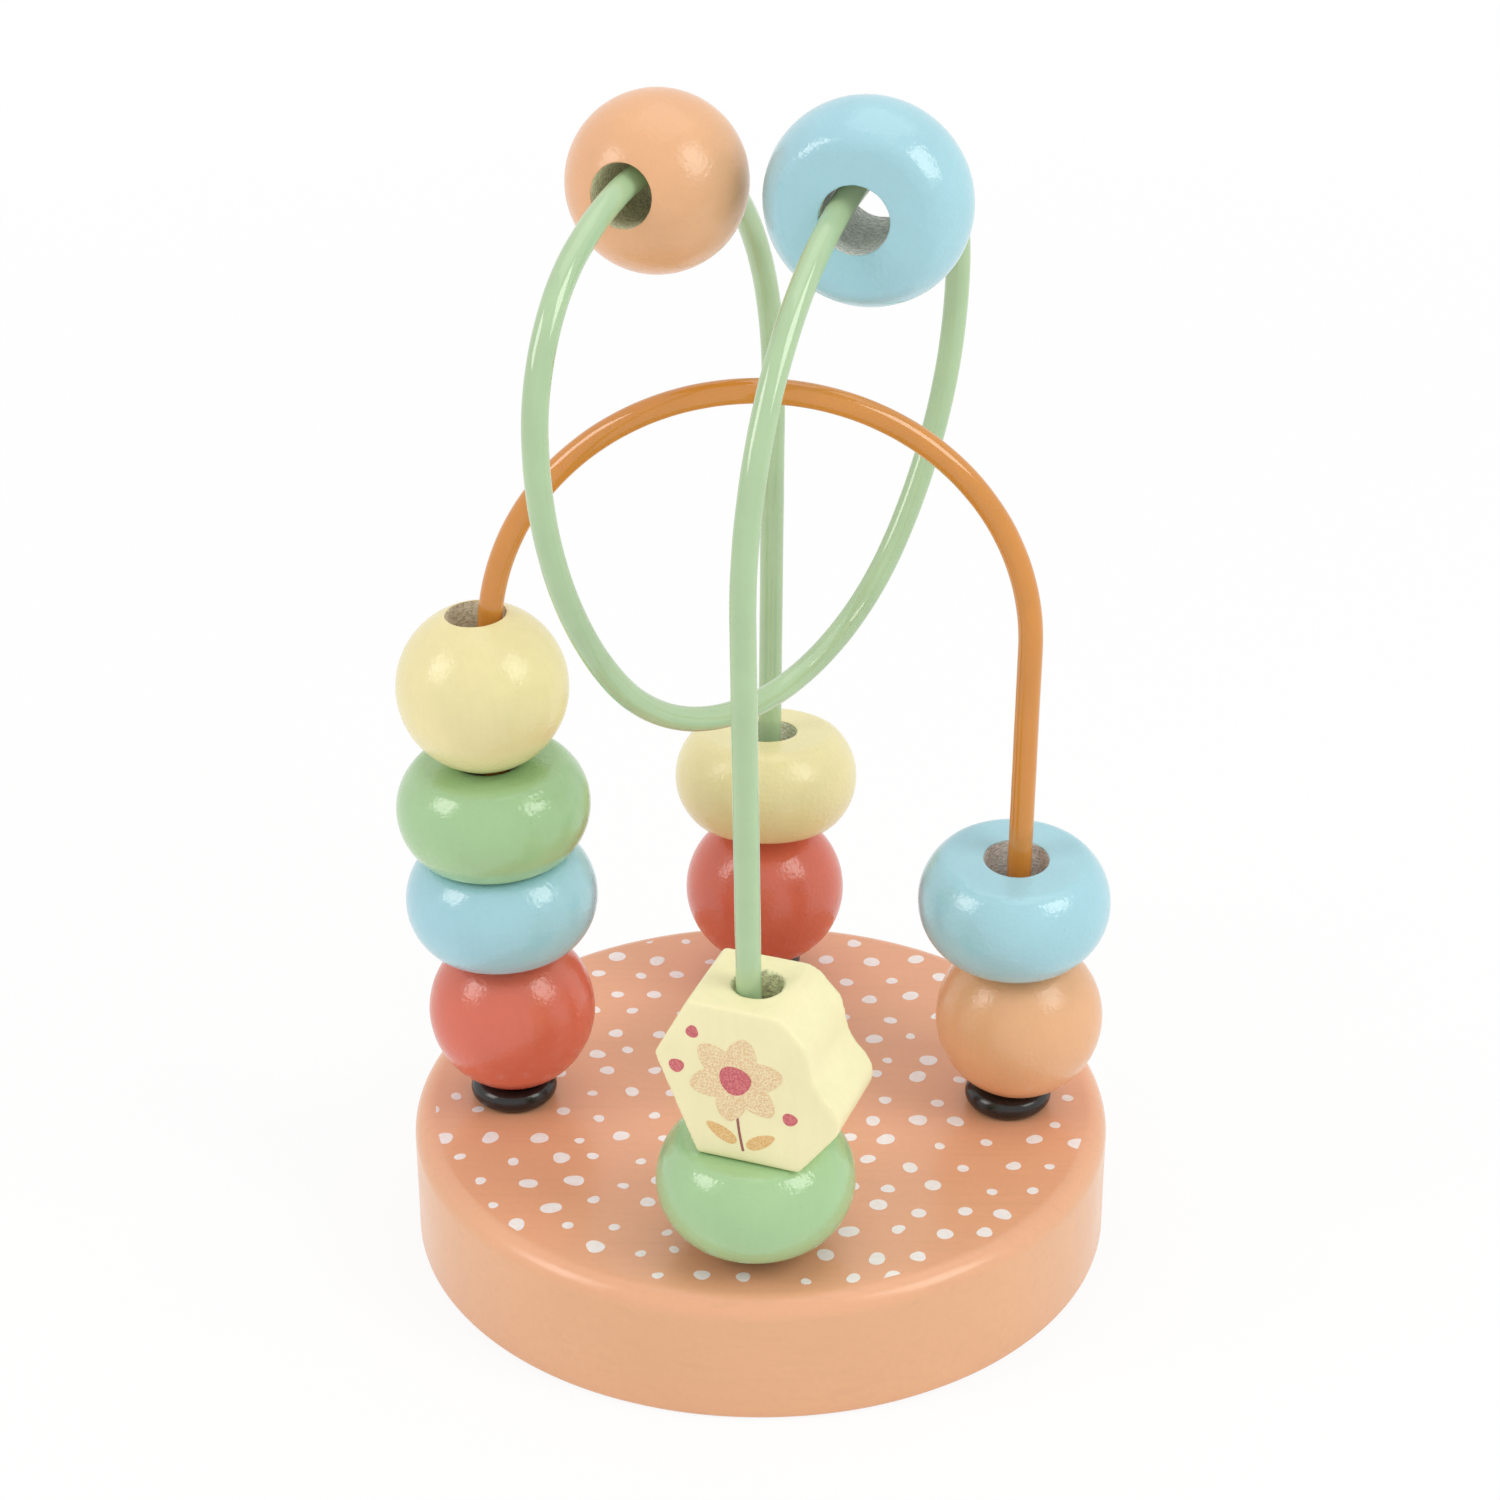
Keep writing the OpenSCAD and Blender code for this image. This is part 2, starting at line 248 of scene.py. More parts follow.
def painted_wood(name, rgb, raw_rgb, rough, shine=0.5):
    """Gloss paint over turned wood, with bare drilled wood where the mesh says bare."""
    p = Finish(name)
    c, wood = srgb(*rgb), srgb(*raw_rgb)
    tone = p.fit(p.noise(0.09, 2.0), 0.3, 0.7)
    colour = p.blend(tone, shade(c, TONE_LOW), shade(c, TONE_HIGH))
    grain = p.noise(0.9, 3.0, 0.6, p.stretched(1, 1, 0.1))
    colour = p.blend(p.fit(grain, 0.42, 0.8, 0.0, 0.2), colour, shade(c, TONE_GRAIN))
    colour = p.blend(p.math("MULTIPLY", p.specks(0.3, 0.09, 0.1), 0.5), colour, shade(c, TONE_SPECK))
    fibre = p.noise(1.6, 4.0, 0.7, p.stretched(1, 1, 2.2))
    raw = p.blend(p.fit(fibre, 0.38, 0.6), shade(wood, BARE_DARK), shade(wood, BARE_PALE))
    edge = p.node("ShaderNodeAttribute", attribute_name="bare").outputs["Fac"]
    ragged = p.math("ADD", edge, p.fit(p.noise(1.1, 3.0, 0.6), 0.0, 1.0, -0.3, 0.3))
    bare = p.fit(ragged, 0.5, 0.62)
    skin = p.math("ADD", p.noise(1.5, 2.0, 0.5), p.noise(0.22, 1.0))
    p.bump(p.between(bare, skin, fibre), PEEL)
    gloss = p.fit(p.noise(0.35, 2.0), 0.3, 0.7, rough - 0.03, rough + 0.05)
    return p.done(p.blend(bare, colour, raw), p.between(bare, gloss, BARE_ROUGH), shine)


def base_paint(name):
    """Satin paint on the base: one colour on the flat top and another on the wall, blended over the rounded edge."""
    p = Finish(name)
    wall, top = srgb(*BASE_WALL), srgb(*BASE_TOP)
    height = p.node("ShaderNodeSeparateXYZ", {"Vector": p.local}).outputs[2]
    # film: share of the top's colour, 0 on the wall below the rounded edge and 1 on the flat top
    film = p.fit(height, BASE_T - BASE_EDGE, BASE_T)
    colour = p.blend(film, wall, top)
    mottle = p.math("MULTIPLY", p.noise(1.1, 2.0), 0.5)
    tone = p.fit(p.math("ADD", p.noise(0.045, 2.0), mottle), 0.55, 0.95)
    deep = p.blend(film, shade(wall, 0.955), shade(top, 0.955))
    colour = p.blend(tone, deep, colour)
    grain = p.noise(0.8, 3.0, 0.6, p.stretched(0.06, 1, 1))
    colour = p.blend(p.fit(grain, 0.5, 0.75, 0.0, 0.25), colour, shade(wall, 0.84))
    colour = p.blend(p.math("MULTIPLY", p.specks(0.16, 0.12, 0.1), 0.5), colour, shade(wall, TONE_SPECK))
    waves = p.math("MULTIPLY", p.noise(0.15, 1.0), 1.5)
    p.bump(p.math("ADD", p.noise(0.7, 2.0, 0.4), waves), 0.012)
    return p.done(colour, p.fit(p.noise(0.2, 2.0), 0.3, 0.7, 0.19, 0.27))


def wire_coat(name, rgb, rough):
    """Smooth plastic coating on steel wire, a little wavy, with rare dark specks."""
    p = Finish(name)
    c = srgb(*rgb)
    tone = p.fit(p.noise(0.12, 3.0), 0.3, 0.7)
    colour = p.blend(tone, shade(c, 0.95), shade(c, 1.04))
    colour = p.blend(p.math("MULTIPLY", p.specks(0.25, 0.1, 0.1), 0.6), colour, shade(c, 0.3))
    p.bump(p.noise(0.16, 1.0), 0.03)
    return p.done(colour, p.fit(p.noise(0.4, 2.0), 0.3, 0.7, rough - 0.02, rough + 0.03), 0.8)


def ring_rubber(name):
    """Glossy black moulded rubber with a few pale dust specks."""
    p = Finish(name)
    c = srgb(34, 32, 32)
    colour = p.blend(p.fit(p.noise(0.5, 3.0), 0.3, 0.7), shade(c, 0.85), shade(c, 1.1))
    colour = p.blend(p.math("MULTIPLY", p.specks(0.4, 0.07, 0.08), 0.7), colour, srgb(190, 175, 160))
    p.bump(p.noise(0.8, 2.0), 0.012)
    return p.done(colour, p.fit(p.noise(0.8, 2.0), 0.3, 0.7, 0.14, 0.24))


def print_ink(name, rgb, spot, grain, amount, rough=0.45):
    """Screen-printed ink, dusted with a second tone in grains of 1/grain mm."""
    p = Finish(name)
    a, b = srgb(*rgb), srgb(*spot)
    dust = p.fit(p.noise(grain, 1.0), 0.4, 0.6, 0.0, amount)
    colour = p.blend(dust, a, b)
    colour = p.blend(p.fit(p.noise(0.4, 2.0), 0.3, 0.7, 0.0, 0.25), colour, shade(a, 0.9))
    p.bump(p.noise(2.0, 2.0), 0.008)
    return p.done(colour, p.fit(p.noise(0.7, 2.0), 0.3, 0.7, rough - 0.05, rough + 0.07))


PAINT = {
    "red": painted_wood("paint_red", (221, 110, 86), (226, 190, 160), 0.18, 0.6),
    "blue": painted_wood("paint_blue", (164, 211, 224), (228, 236, 232), 0.13, 0.7),
    "green": painted_wood("paint_green", (166, 204, 151), (230, 230, 206), 0.13, 0.7),
    "yellow": painted_wood("paint_yellow", (240, 228, 171), (250, 240, 206), 0.22),
    "peach": painted_wood("paint_peach", (234, 178, 133), (244, 222, 192), 0.21),
    "bird": painted_wood("paint_bird", (247, 239, 191), (230, 224, 182), 0.32),
}
BASE_WALL, BASE_TOP = (234, 178, 136), (239, 176, 138)
BASE_COAT = base_paint("paint_base")
ARCH_COAT = wire_coat("coat_orange", (213, 138, 48), 0.08)
LOOP_COAT = wire_coat("coat_green", (175, 203, 159), 0.09)
RUBBER = ring_rubber("rubber_black")
DOT_INK = print_ink("ink_dots", (253, 247, 246), (245, 230, 226), 1.2, 0.4)
TAN_INK = print_ink("ink_tan", (231, 196, 146), (246, 228, 188), 3.4, 1.0)
CRIMSON_INK = print_ink("ink_crimson", (197, 88, 98), (222, 128, 128), 3.6, 0.9)
ORANGE_INK = print_ink("ink_orange", (228, 178, 106), (240, 205, 150), 3.4, 0.9)
BROWN_INK = print_ink("ink_brown", (152, 84, 78), (170, 104, 96), 3.0, 0.6)


# Meshes
def piece(name, verts, faces, place, body, material, bare=None, crease=40.0):
    """A mesh of the part: verts in millimetres in its own frame, moved by place into the part's frame."""
    mesh = bpy.data.meshes.new(name)
    mesh.from_pydata([(place @ Vector(v)) * MM for v in verts], [], faces)
    local = mesh.attributes.new("local", "FLOAT_VECTOR", "POINT")
    local.data.foreach_set("vector", [c for v in verts for c in v])
    rough = mesh.attributes.new("bare", "FLOAT", "POINT")
    rough.data.foreach_set("value", bare or [0.0] * len(verts))
    mesh.shade_smooth()
    mesh.set_sharp_from_angle(angle=math.radians(crease))
    mesh.materials.append(material)
    obj = bpy.data.objects.new(name, mesh)
    bpy.context.scene.collection.objects.link(obj)
    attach(obj, body)
    return obj


# Unevenness in millimetres, with its waves per millimetre: of paint, and of a drilled wall
DENT, BEAD_WAVES, BASE_WAVES = 0.05, 0.11, 0.09
FUZZ, FUZZ_WAVES, FUZZ_STRETCH = 0.1, 0.9, 2.2


def wobble(v, scale, seed):
    """Smooth noise at v, between about -1 and 1."""
    return noise.noise(Vector(v) * scale + Vector((seed * 7.3, seed * 3.1, seed * 5.7)))


def fuzz(v, seed):
    """Unevenness of a drilled wall at v."""
    return FUZZ * wobble((v[0], v[1], v[2] * FUZZ_STRETCH), FUZZ_WAVES, seed)


def lathe(profile, sides):
    """A closed profile of (radius, height) turned about Z."""
    n = len(profile)
    verts = []
    for i in range(sides):
        a = math.tau * i / sides
        verts += [(r * math.cos(a), r * math.sin(a), z) for r, z in profile]
    faces = []
    for i in range(sides):
        j = (i + 1) % sides
        for k in range(n):
            m = (k + 1) % n
            faces.append((i * n + k, j * n + k, j * n + m, i * n + m))
    return verts, faces


def line(a, b, n):
    return [(a[0] + (b[0] - a[0]) * i / n, a[1] + (b[1] - a[1]) * i / n) for i in range(n)]


def arc(cx, cz, r, a0, a1, n):
    return [(cx + r * cosd(a0 + (a1 - a0) * i / n), cz + r * sind(a0 + (a1 - a0) * i / n)) for i in range(n)]


def rounded(a, corner, b, n):
    """A soft corner from a to b."""
    pts = []
    for i in range(n):
        t = i / n
        pts.append(tuple((1 - t) ** 2 * a[k] + 2 * t * (1 - t) * corner[k] + t * t * b[k] for k in range(2)))
    return pts


# Softened rim of a bore and its facets, facets round a bead, and how soon the wall inside the rim is bare
RIM, RIM_STEPS, BEAD_SIDES, BARE_EDGE, BARE_DEPTH = 0.25, 5, 112, 0.25, 1.6


def ball_profile():
    half, bore = BALL_LEN / 2, BALL_BORE
    start = math.degrees(math.asin(half / BALL_R)) - math.degrees(RIM / BALL_R)
    top = (BALL_R * cosd(start), BALL_R * sind(start))
    low = (top[0], -top[1])
    pts = arc(0, 0, BALL_R, -start, start, 64)
    pts += rounded(top, (bore, half), (bore, half - RIM), RIM_STEPS)
    pts += line((bore, half - RIM), (bore, RIM - half), 26)
    pts += rounded((bore, RIM - half), (bore, -half), low, RIM_STEPS)
    return pts, half, bore


def disc_profile():
    half, bore = DISC_T / 2, DISC_BORE
    rim_x = DISC_R - DISC_RIM
    edge_z = half - DISC_EDGE
    edge_x = rim_x + math.sqrt((DISC_RIM - DISC_EDGE) ** 2 - edge_z**2)
    split = math.degrees(math.atan2(edge_z, edge_x - rim_x))
    pts = arc(rim_x, 0, DISC_RIM, -split, split, 40)
    pts += arc(edge_x, edge_z, DISC_EDGE, split, 90, 10)
    pts += line((edge_x, half), (bore + RIM, half), 8)
    pts += rounded((bore + RIM, half), (bore, half), (bore, half - RIM), RIM_STEPS)
    pts += line((bore, half - RIM), (bore, RIM - half), 20)
    pts += rounded((bore, RIM - half), (bore, -half), (bore + RIM, -half), RIM_STEPS)
    pts += line((bore + RIM, -half), (edge_x, -half), 8)
    pts += arc(edge_x, -edge_z, DISC_EDGE, -90, -split, 10)
    return pts, half, bore


def in_bore(v, half, bore):
    """How bare a point is: 0 on the painted outside, 1 inside the drilled hole."""
    r = math.hypot(v[0], v[1])
    deep = half - abs(v[2])
    if r > bore + RIM:
        return 0.0
    side = min(max((bore + RIM - r) / RIM, 0.0), 1.0)
    return side * min(max(BARE_EDGE + deep / (BARE_DEPTH * RIM), 0.0), 1.0)


def bead(name, kind, place, paint, seed):
    profile, half, bore = ball_profile() if kind == "ball" else disc_profile()
    verts, faces = lathe(profile, BEAD_SIDES)
    bare = [in_bore(v, half, bore) for v in verts]
    moved = []
    for v, b in zip(verts, bare):
        r = math.hypot(v[0], v[1])
        dent = DENT * (wobble(v, BEAD_WAVES, seed) - 1) * (1 - b) / BALL_R
        k = 1 + dent + b * fuzz(v, seed) / r
        moved.append((v[0] * k, v[1] * k, v[2]))
    obj = piece(name + "_bead", moved, faces, place, name, PAINT[paint], bare)
    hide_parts(name)


REAR_DISC = HALF_TURN @ at_front(DISC_ON_BALL + LIFT, OFF / 2, OFF) @ turn("X", TILT)
TOP_DISC = on_bow(DISC_AT, DISC_HANG * DISC_PLAY) @ shift(DISC_ASIDE * DISC_PLAY, 0, 0)
BEADS = [
    ("ball_red_left", "ball", at_left(LOW_BALL), "red"),
    ("disc_blue_left", "disc", at_left(DISC_ON_BALL), "blue"),
    ("disc_green_left", "disc", at_left(DISC_ON_DISC), "green"),
    ("ball_yellow_left", "ball", at_left(BALL_ON_DISC), "yellow"),
    ("ball_peach_right", "ball", at_right(LOW_BALL, OFF), "peach"),
    ("disc_blue_right", "disc", at_right(DISC_ON_BALL + LIFT, -OFF / 2) @ turn("X", TILT), "blue"),
    ("ball_red_rear", "ball", HALF_TURN @ at_front(LOW_BALL, OFF / 2, OFF), "red"),
    ("disc_yellow_rear", "disc", REAR_DISC, "yellow"),
    ("disc_green_front", "disc", at_front(LOW_DISC, OFF / 2, OFF), "green"),
    ("ball_peach_top", "ball", HALF_TURN @ on_bow(BALL_AT, BALL_HANG * BALL_PLAY), "peach"),
    ("disc_blue_top", "disc", TOP_DISC @ turn("X", -DISC_TIP) @ turn("Y", DISC_YAW), "blue"),
]


# Wires: length of a facet, facets round, unevenness of the coating and its waves, and width of the closed ends
WIRE_STEP, WIRE_SIDES, COAT_DENT, COAT_WAVES, WIRE_END = 0.8, 28, 0.02, 0.25, 0.82


def along(kind, size, share):
    """The way along a share of one straight or bent stretch of wire."""
    if kind == "go":
        return shift(0, 0, size[0] * share)
    radius, angle = size
    return shift(0, radius, 0) @ turn("X", -angle * share) @ shift(0, -radius, 0)


def walk(start, moves):
    """Points along a bent wire: each move is ("go", length), ("bend", radius, angle) or ("turn", angle)."""
    here, pts = start.copy(), []
    for kind, *size in moves:
        if kind == "turn":
            here = here @ turn("Z", size[0])
            continue
        length = size[0] if kind == "go" else size[0] * math.radians(size[1])
        n = max(2, math.ceil(length / WIRE_STEP))
        pts += [(here @ along(kind, size, i / n)).translation for i in range(n)]
        here = here @ along(kind, size, 1)
    return pts, here


def tube(path, seed):
    """A round wire along path, its coating a little uneven, with softly closed ends."""
    n, radius, sides = len(path), WIRE_R, WIRE_SIDES
    tangents = [(path[min(i + 1, n - 1)] - path[max(i - 1, 0)]).normalized() for i in range(n)]
    side = tangents[0].orthogonal().normalized()
    verts, faces = [], []
    for i in range(n):
        side = (side - tangents[i] * side.dot(tangents[i])).normalized()
        other = tangents[i].cross(side)
        end = WIRE_END if i in (0, n - 1) else 1.0
        for k in range(sides):
            a = math.tau * k / sides
            out = side * math.cos(a) + other * math.sin(a)
            r = (radius - COAT_DENT + COAT_DENT * wobble(path[i] + out * radius, COAT_WAVES, seed)) * end
            verts.append(tuple(path[i] + out * r))
    for i in range(n - 1):
        for k in range(sides):
            m = (k + 1) % sides
            faces.append((i * sides + k, i * sides + m, (i + 1) * sides + m, (i + 1) * sides + k))
    faces.append(tuple(reversed(range(sides))))
    faces.append(tuple(range((n - 1) * sides, n * sides)))
    return verts, faces


def make_wires():
    foot = shift(-ARCH_X, 0, BASE_T) @ turn("Z", -90) @ turn("X", ARCH_LEAN) @ shift(0, 0, -WIRE_IN)
    leg = ("go", WIRE_IN + ARCH_LEG)
    pts, end = walk(foot, [leg, ("bend", ARCH_R, 180 + 2 * ARCH_LEAN), leg])
    verts, faces = tube(pts + [end.translation], 1)
    obj = piece("arch_wire_coated", verts, faces, Matrix.Identity(4), "stand", ARCH_COAT)
    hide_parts("arch_wire")

    foot = FRONT_FOOT @ turn("X", LOOP_LEAN) @ shift(0, 0, -WIRE_IN)
    half = [
        ("go", WIRE_IN + LOOP_LEG),
        ("bend", BOW_R1, BOW_A1),
        ("bend", BOW_R2, 180 + LOOP_LEAN - BOW_A1),
        ("turn", SWING_TURN),
        ("bend", SWING_R1, SWING_A1),
    ]
    rise, end = walk(foot, half)
    middle, _ = walk(end, [("bend", SWING_R2, 180 - 2 * SWING_A1)])
    back = [HALF_TURN @ p for p in reversed(rise + [end.translation])]
    verts, faces = tube(rise + middle + back, 2)
    obj = piece("loop_wire_coated", verts, faces, Matrix.Identity(4), "stand", LOOP_COAT)
    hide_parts("loop_wire")


# Rings at the wire feet
FEET = [
    ("left", -ARCH_X, 0, GROMMET_R),
    ("right", ARCH_X, 0, GROMMET_R),
    ("front", 0, -LOOP_Y, LOOP_RING_R),
    ("rear", 0, LOOP_Y, LOOP_RING_R),
]
SLEEVE_R = WIRE_R + FIT + SLEEVE_LEN * tand(LOOP_LEAN) + SLEEVE_WALL
RING_LIP, RING_SIDES = 0.5, 72
RING_TURN = 37  # degrees per letter of a ring's name, to vary the specks that face the front


def ring_profile(outer):
    hole, bulge = SLEEVE_R - SLEEVE_WALL, GROMMET_H / 2
    profile = line((hole, -SLEEVE_LEN), (SLEEVE_R, -SLEEVE_LEN), 2)
    profile += line((SLEEVE_R, -SLEEVE_LEN), (SLEEVE_R, 0), 4)
    profile += arc(outer - bulge, bulge, bulge, -90, 90, 24)
    lip_out, lip_in = (hole + RING_LIP, GROMMET_H), (hole, GROMMET_H - RING_LIP)
    profile += line((outer - bulge, GROMMET_H), lip_out, 3)
    profile += rounded(lip_out, (hole, GROMMET_H), lip_in, 5)
    profile += line(lip_in, (hole, -SLEEVE_LEN), 6)
    return profile


def make_grommets():
    for name, x, y, outer in FEET:
        verts, faces = lathe(ring_profile(outer), RING_SIDES)
        place = shift(x, y, BASE_T) @ turn("Z", RING_TURN * len(name))
        obj = piece("ring_" + name, verts, faces, place, "stand", RUBBER)
        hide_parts("grommet_" + name)


# Base
def solid_of(verts, faces):
    mesh = bpy.data.meshes.new("cutting")
    mesh.from_pydata([Vector(v) for v in verts], [], faces)
    obj = bpy.data.objects.new("cutting", mesh)
    bpy.context.scene.collection.objects.link(obj)
    return obj


def cut(body, tools, voxel=0.0, smoothing=0):
    """body less every tool, each given as (verts, faces), then remeshed and softened if a voxel size is given."""
    work = solid_of(*body)
    others = [solid_of(*t) for t in tools]
    for o in others:
        m = work.modifiers.new("cut", "BOOLEAN")
        m.operation, m.solver, m.object = "DIFFERENCE", "EXACT", o
    if voxel:
        m = work.modifiers.new("remesh", "REMESH")
        m.mode, m.voxel_size = "VOXEL", voxel
        m = work.modifiers.new("soften", "SMOOTH")
        m.factor, m.iterations = 0.5, smoothing
    bpy.context.view_layer.update()
    done = work.evaluated_get(bpy.context.evaluated_depsgraph_get()).to_mesh()
    verts = [tuple(v.co) for v in done.vertices]
    faces = [tuple(f.vertices) for f in done.polygons]
    for o in [work, *others]:
        bpy.data.objects.remove(o)
    return verts, faces


def turned_solid(profile, sides):
    """An open profile from axis to axis turned about Z, closed by points on the axis."""
    inner = profile[1:-1]
    n = len(inner)
    verts = [(0, 0, profile[0][1]), (0, 0, profile[-1][1])]
    for i in range(sides):
        a = math.tau * i / sides
        verts += [(r * math.cos(a), r * math.sin(a), z) for r, z in inner]
    faces = []
    for i in range(sides):
        j = (i + 1) % sides
        a, b = 2 + i * n, 2 + j * n
        faces.append((0, b, a))
        faces.append((1, a + n - 1, b + n - 1))
        faces += [(a + k, b + k, b + k + 1, a + k + 1) for k in range(n - 1)]
    return verts, faces


def rod(r, z0, z1, place, sides=48):
    verts, faces = turned_solid([(0, z0), (r, z0), (r, z1), (0, z1)], sides)
    return [tuple(place @ Vector(v)) for v in verts], faces


FLAT_R, LOW_EDGE, BASE_SIDES, BASE_SEED = BASE_R - BASE_EDGE, 0.8, 256, 3
LOW_RINGS, TOP_RINGS = (20, 40), (FLAT_R, FLAT_R - 0.4, 30, 15)  # radii where the flat faces are divided
HOLE_TURN = 3.1  # keeps the corners of the holes off the edges of the base's facets
PAST = 2  # how far a cutter reaches past the face


def make_base():
    profile = [(r, 0) for r in (0, *LOW_RINGS, BASE_R - LOW_EDGE)]
    profile += arc(BASE_R - LOW_EDGE, LOW_EDGE, LOW_EDGE, -72, 0, 5)
    profile += line((BASE_R, LOW_EDGE), (BASE_R, BASE_T - BASE_EDGE), 14)
    profile += arc(FLAT_R, BASE_T - BASE_EDGE, BASE_EDGE, 0, 90, 16)
    profile += [(r, BASE_T) for r in (*TOP_RINGS, 0)]
    verts, faces = turned_solid(profile, BASE_SIDES)
    moved = []
    for v in verts:
        r = math.hypot(v[0], v[1])
        if r > FLAT_R + 0.1 and v[2] > 0.01:
            k = 1 + DENT * (wobble(v, BASE_WAVES, BASE_SEED) - 1) / r
            v = (v[0] * k, v[1] * k, v[2])
        moved.append(v)
    floor, askew = BASE_T - SLEEVE_LEN - FIT, turn("Z", HOLE_TURN)
    holes = [rod(SLEEVE_R + FIT, floor, BASE_T + PAST, shift(x, y, 0) @ askew) for _, x, y, _ in FEET]
    verts, faces = cut((moved, faces), holes)
    obj = piece("base_disc", verts, faces, Matrix.Identity(4), "stand", BASE_COAT, crease=50)
    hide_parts("base")


def blob(outline, low, high, crown=0.0):
    """A thin closed patch of ink inside outline, from low up to high, its middle crowned."""
    n = len(outline)
    cx, cy = (sum(p[k] for p in outline) / n for k in range(2))
    verts = [(cx, cy, high + crown), (cx, cy, low)]
    verts += [(x, y, high) for x, y in outline] + [(x, y, low) for x, y in outline]
    faces = []
    for i in range(n):
        j = (i + 1) % n
        faces += [(0, 2 + i, 2 + j), (1, 2 + n + j, 2 + n + i), (2 + i, 2 + n + i, 2 + n + j, 2 + j)]
    return verts, faces


def joined(parts):
    verts, faces = [], []
    for v, f in parts:
        at = len(verts)
        verts += v
        faces += [tuple(i + at for i in face) for face in f]
    return verts, faces


# Dots on the base. The grid, with its rows nearer together than its columns, and the stray from it:
DOT_STEP, DOT_ROW, DOT_COLUMNS, DOT_STRAY, DOT_SEED = 6.7, 0.86, 9, 1.2, 11
# Limit of the print, overlap that a dot may have with it in radii, and room left round the rings:
DOT_EDGE, DOT_OVER, DOT_CLEAR = FLAT_R - 0.05, 0.3, 0.3
# Radii, points of the outline, and how far it may be stretched or three-cornered:
DOT_SMALL, DOT_LARGE, DOT_POINTS, DOT_LONG, DOT_THREE = 0.72, 1.42, 22, 0.16, 0.07
# Depth, height and crown of the ink:
DOT_DEEP, DOT_HIGH, DOT_CROWN = 0.15, 0.025, 0.012


def make_dots():
    rng = random.Random(DOT_SEED)
    parts = []
    rows = int(DOT_EDGE / (DOT_STEP * DOT_ROW)) + 1
    for j in range(-rows, rows + 1):
        for i in range(-DOT_COLUMNS, DOT_COLUMNS + 1):
            x = (i + 0.5 * (j % 2)) * DOT_STEP + rng.uniform(-DOT_STRAY, DOT_STRAY)
            y = j * DOT_STEP * DOT_ROW + rng.uniform(-DOT_STRAY, DOT_STRAY)
            r = rng.uniform(DOT_SMALL, DOT_LARGE)
            long, three = rng.uniform(0, DOT_LONG), rng.uniform(0, DOT_THREE)
            p2, p3 = rng.uniform(0, math.tau), rng.uniform(0, math.tau)
            if math.hypot(x, y) > DOT_EDGE + DOT_OVER * r:
                continue
            if any(math.hypot(x - fx, y - fy) < fr + DOT_CLEAR for _, fx, fy, fr in FEET):
                continue
            ring = []
            for k in range(DOT_POINTS):
                a = math.tau * k / DOT_POINTS
                q = r * (1 + long * math.cos(2 * a + p2) + three * math.cos(3 * a + p3))
                px, py = x + q * math.cos(a), y + q * math.sin(a)
                f = min(1.0, DOT_EDGE / math.hypot(px, py))
                ring.append((px * f, py * f))
            parts.append(blob(ring, BASE_T - DOT_DEEP, BASE_T + DOT_HIGH, DOT_CROWN))
    verts, faces = joined(parts)
    piece("base_dots", verts, faces, Matrix.Identity(4), "stand", DOT_INK, crease=60)


# Bird-shaped bead: size of its facets, rounds of softening, and where bare wood starts and how soon it is complete
BIRD_VOXEL, BIRD_SOFTEN, BIRD_SEED = 0.36, 10, 9
BIRD_RIM, BIRD_FADE = 0.5, 0.4


def bird_outline():
    """The bird's outline: straight edges, a round beak and tail, and a hollow nape."""
    w, h = BIRD_W, BIRD_H
    tail = (0.385 * w, 0.365 * h, 0.145 * w)
    beak = (-0.425 * w, 0.61 * h, 0.045 * w)
    nape = (0.68 * w, 0.735 * h, 0.3 * w)
    pts = [(-0.25 * w, 0), (0.31 * w, 0)]
    pts += arc(*tail, -38, 38, 12)
    pts += arc(*nape, 230, 182, 12)
    pts += [(0.38 * w, 0.72 * h), (0.355 * w, 0.83 * h), (0.24 * w, 0.97 * h)]
    pts += [(0.18 * w, h), (-0.285 * w, h)]
    pts += arc(*beak, 140, 215, 8)
    return pts


def make_bird():
    place = at_front(BIRD_FOOT, BIRD_ASIDE * BIRD_PLAY, BIRD_OFF * BIRD_PLAY)
    place = place @ turn("Z", BIRD_TURN)
    outline, half = bird_outline(), BIRD_T / 2
    n = len(outline)
    verts = [(u, y, v) for y in (-half, half) for u, v in outline]
    faces = [(i, n + i, n + (i + 1) % n, (i + 1) % n) for i in range(n)]
    faces += [tuple(range(n)), tuple(reversed(range(n, 2 * n)))]
    bore = rod(BIRD_BORE, -PAST, BIRD_H + PAST, Matrix.Identity(4), 64)
    verts, faces = cut((verts, faces), [bore], BIRD_VOXEL, BIRD_SOFTEN)
    bare, moved = [], []
    for v in verts:
        r = math.hypot(v[0], v[1])
        b = min(max((BIRD_BORE + BIRD_RIM - r) / BIRD_FADE, 0.0), 1.0)
        k = 1 + b * fuzz(v, BIRD_SEED) / max(r, 1.0)
        bare.append(b)
        moved.append((v[0] * k, v[1] * k, v[2]))
    obj = piece("bird_block", moved, faces, place, "bird_bead", PAINT["bird"], bare, crease=180)
    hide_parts("bird_bead")
    make_print(place @ shift(0, -half, 0) @ turn("X", 90))


def petal(cu, cv, long, wide, a, n=36):
    pts = []
    for k in range(n):
        t = math.tau * k / n
        x, y = long * math.cos(t), wide * math.sin(t) * (1 - 0.22 * math.cos(t))
        pts.append((cu + x * cosd(a) - y * sind(a), cv + x * sind(a) + y * cosd(a)))
    return pts


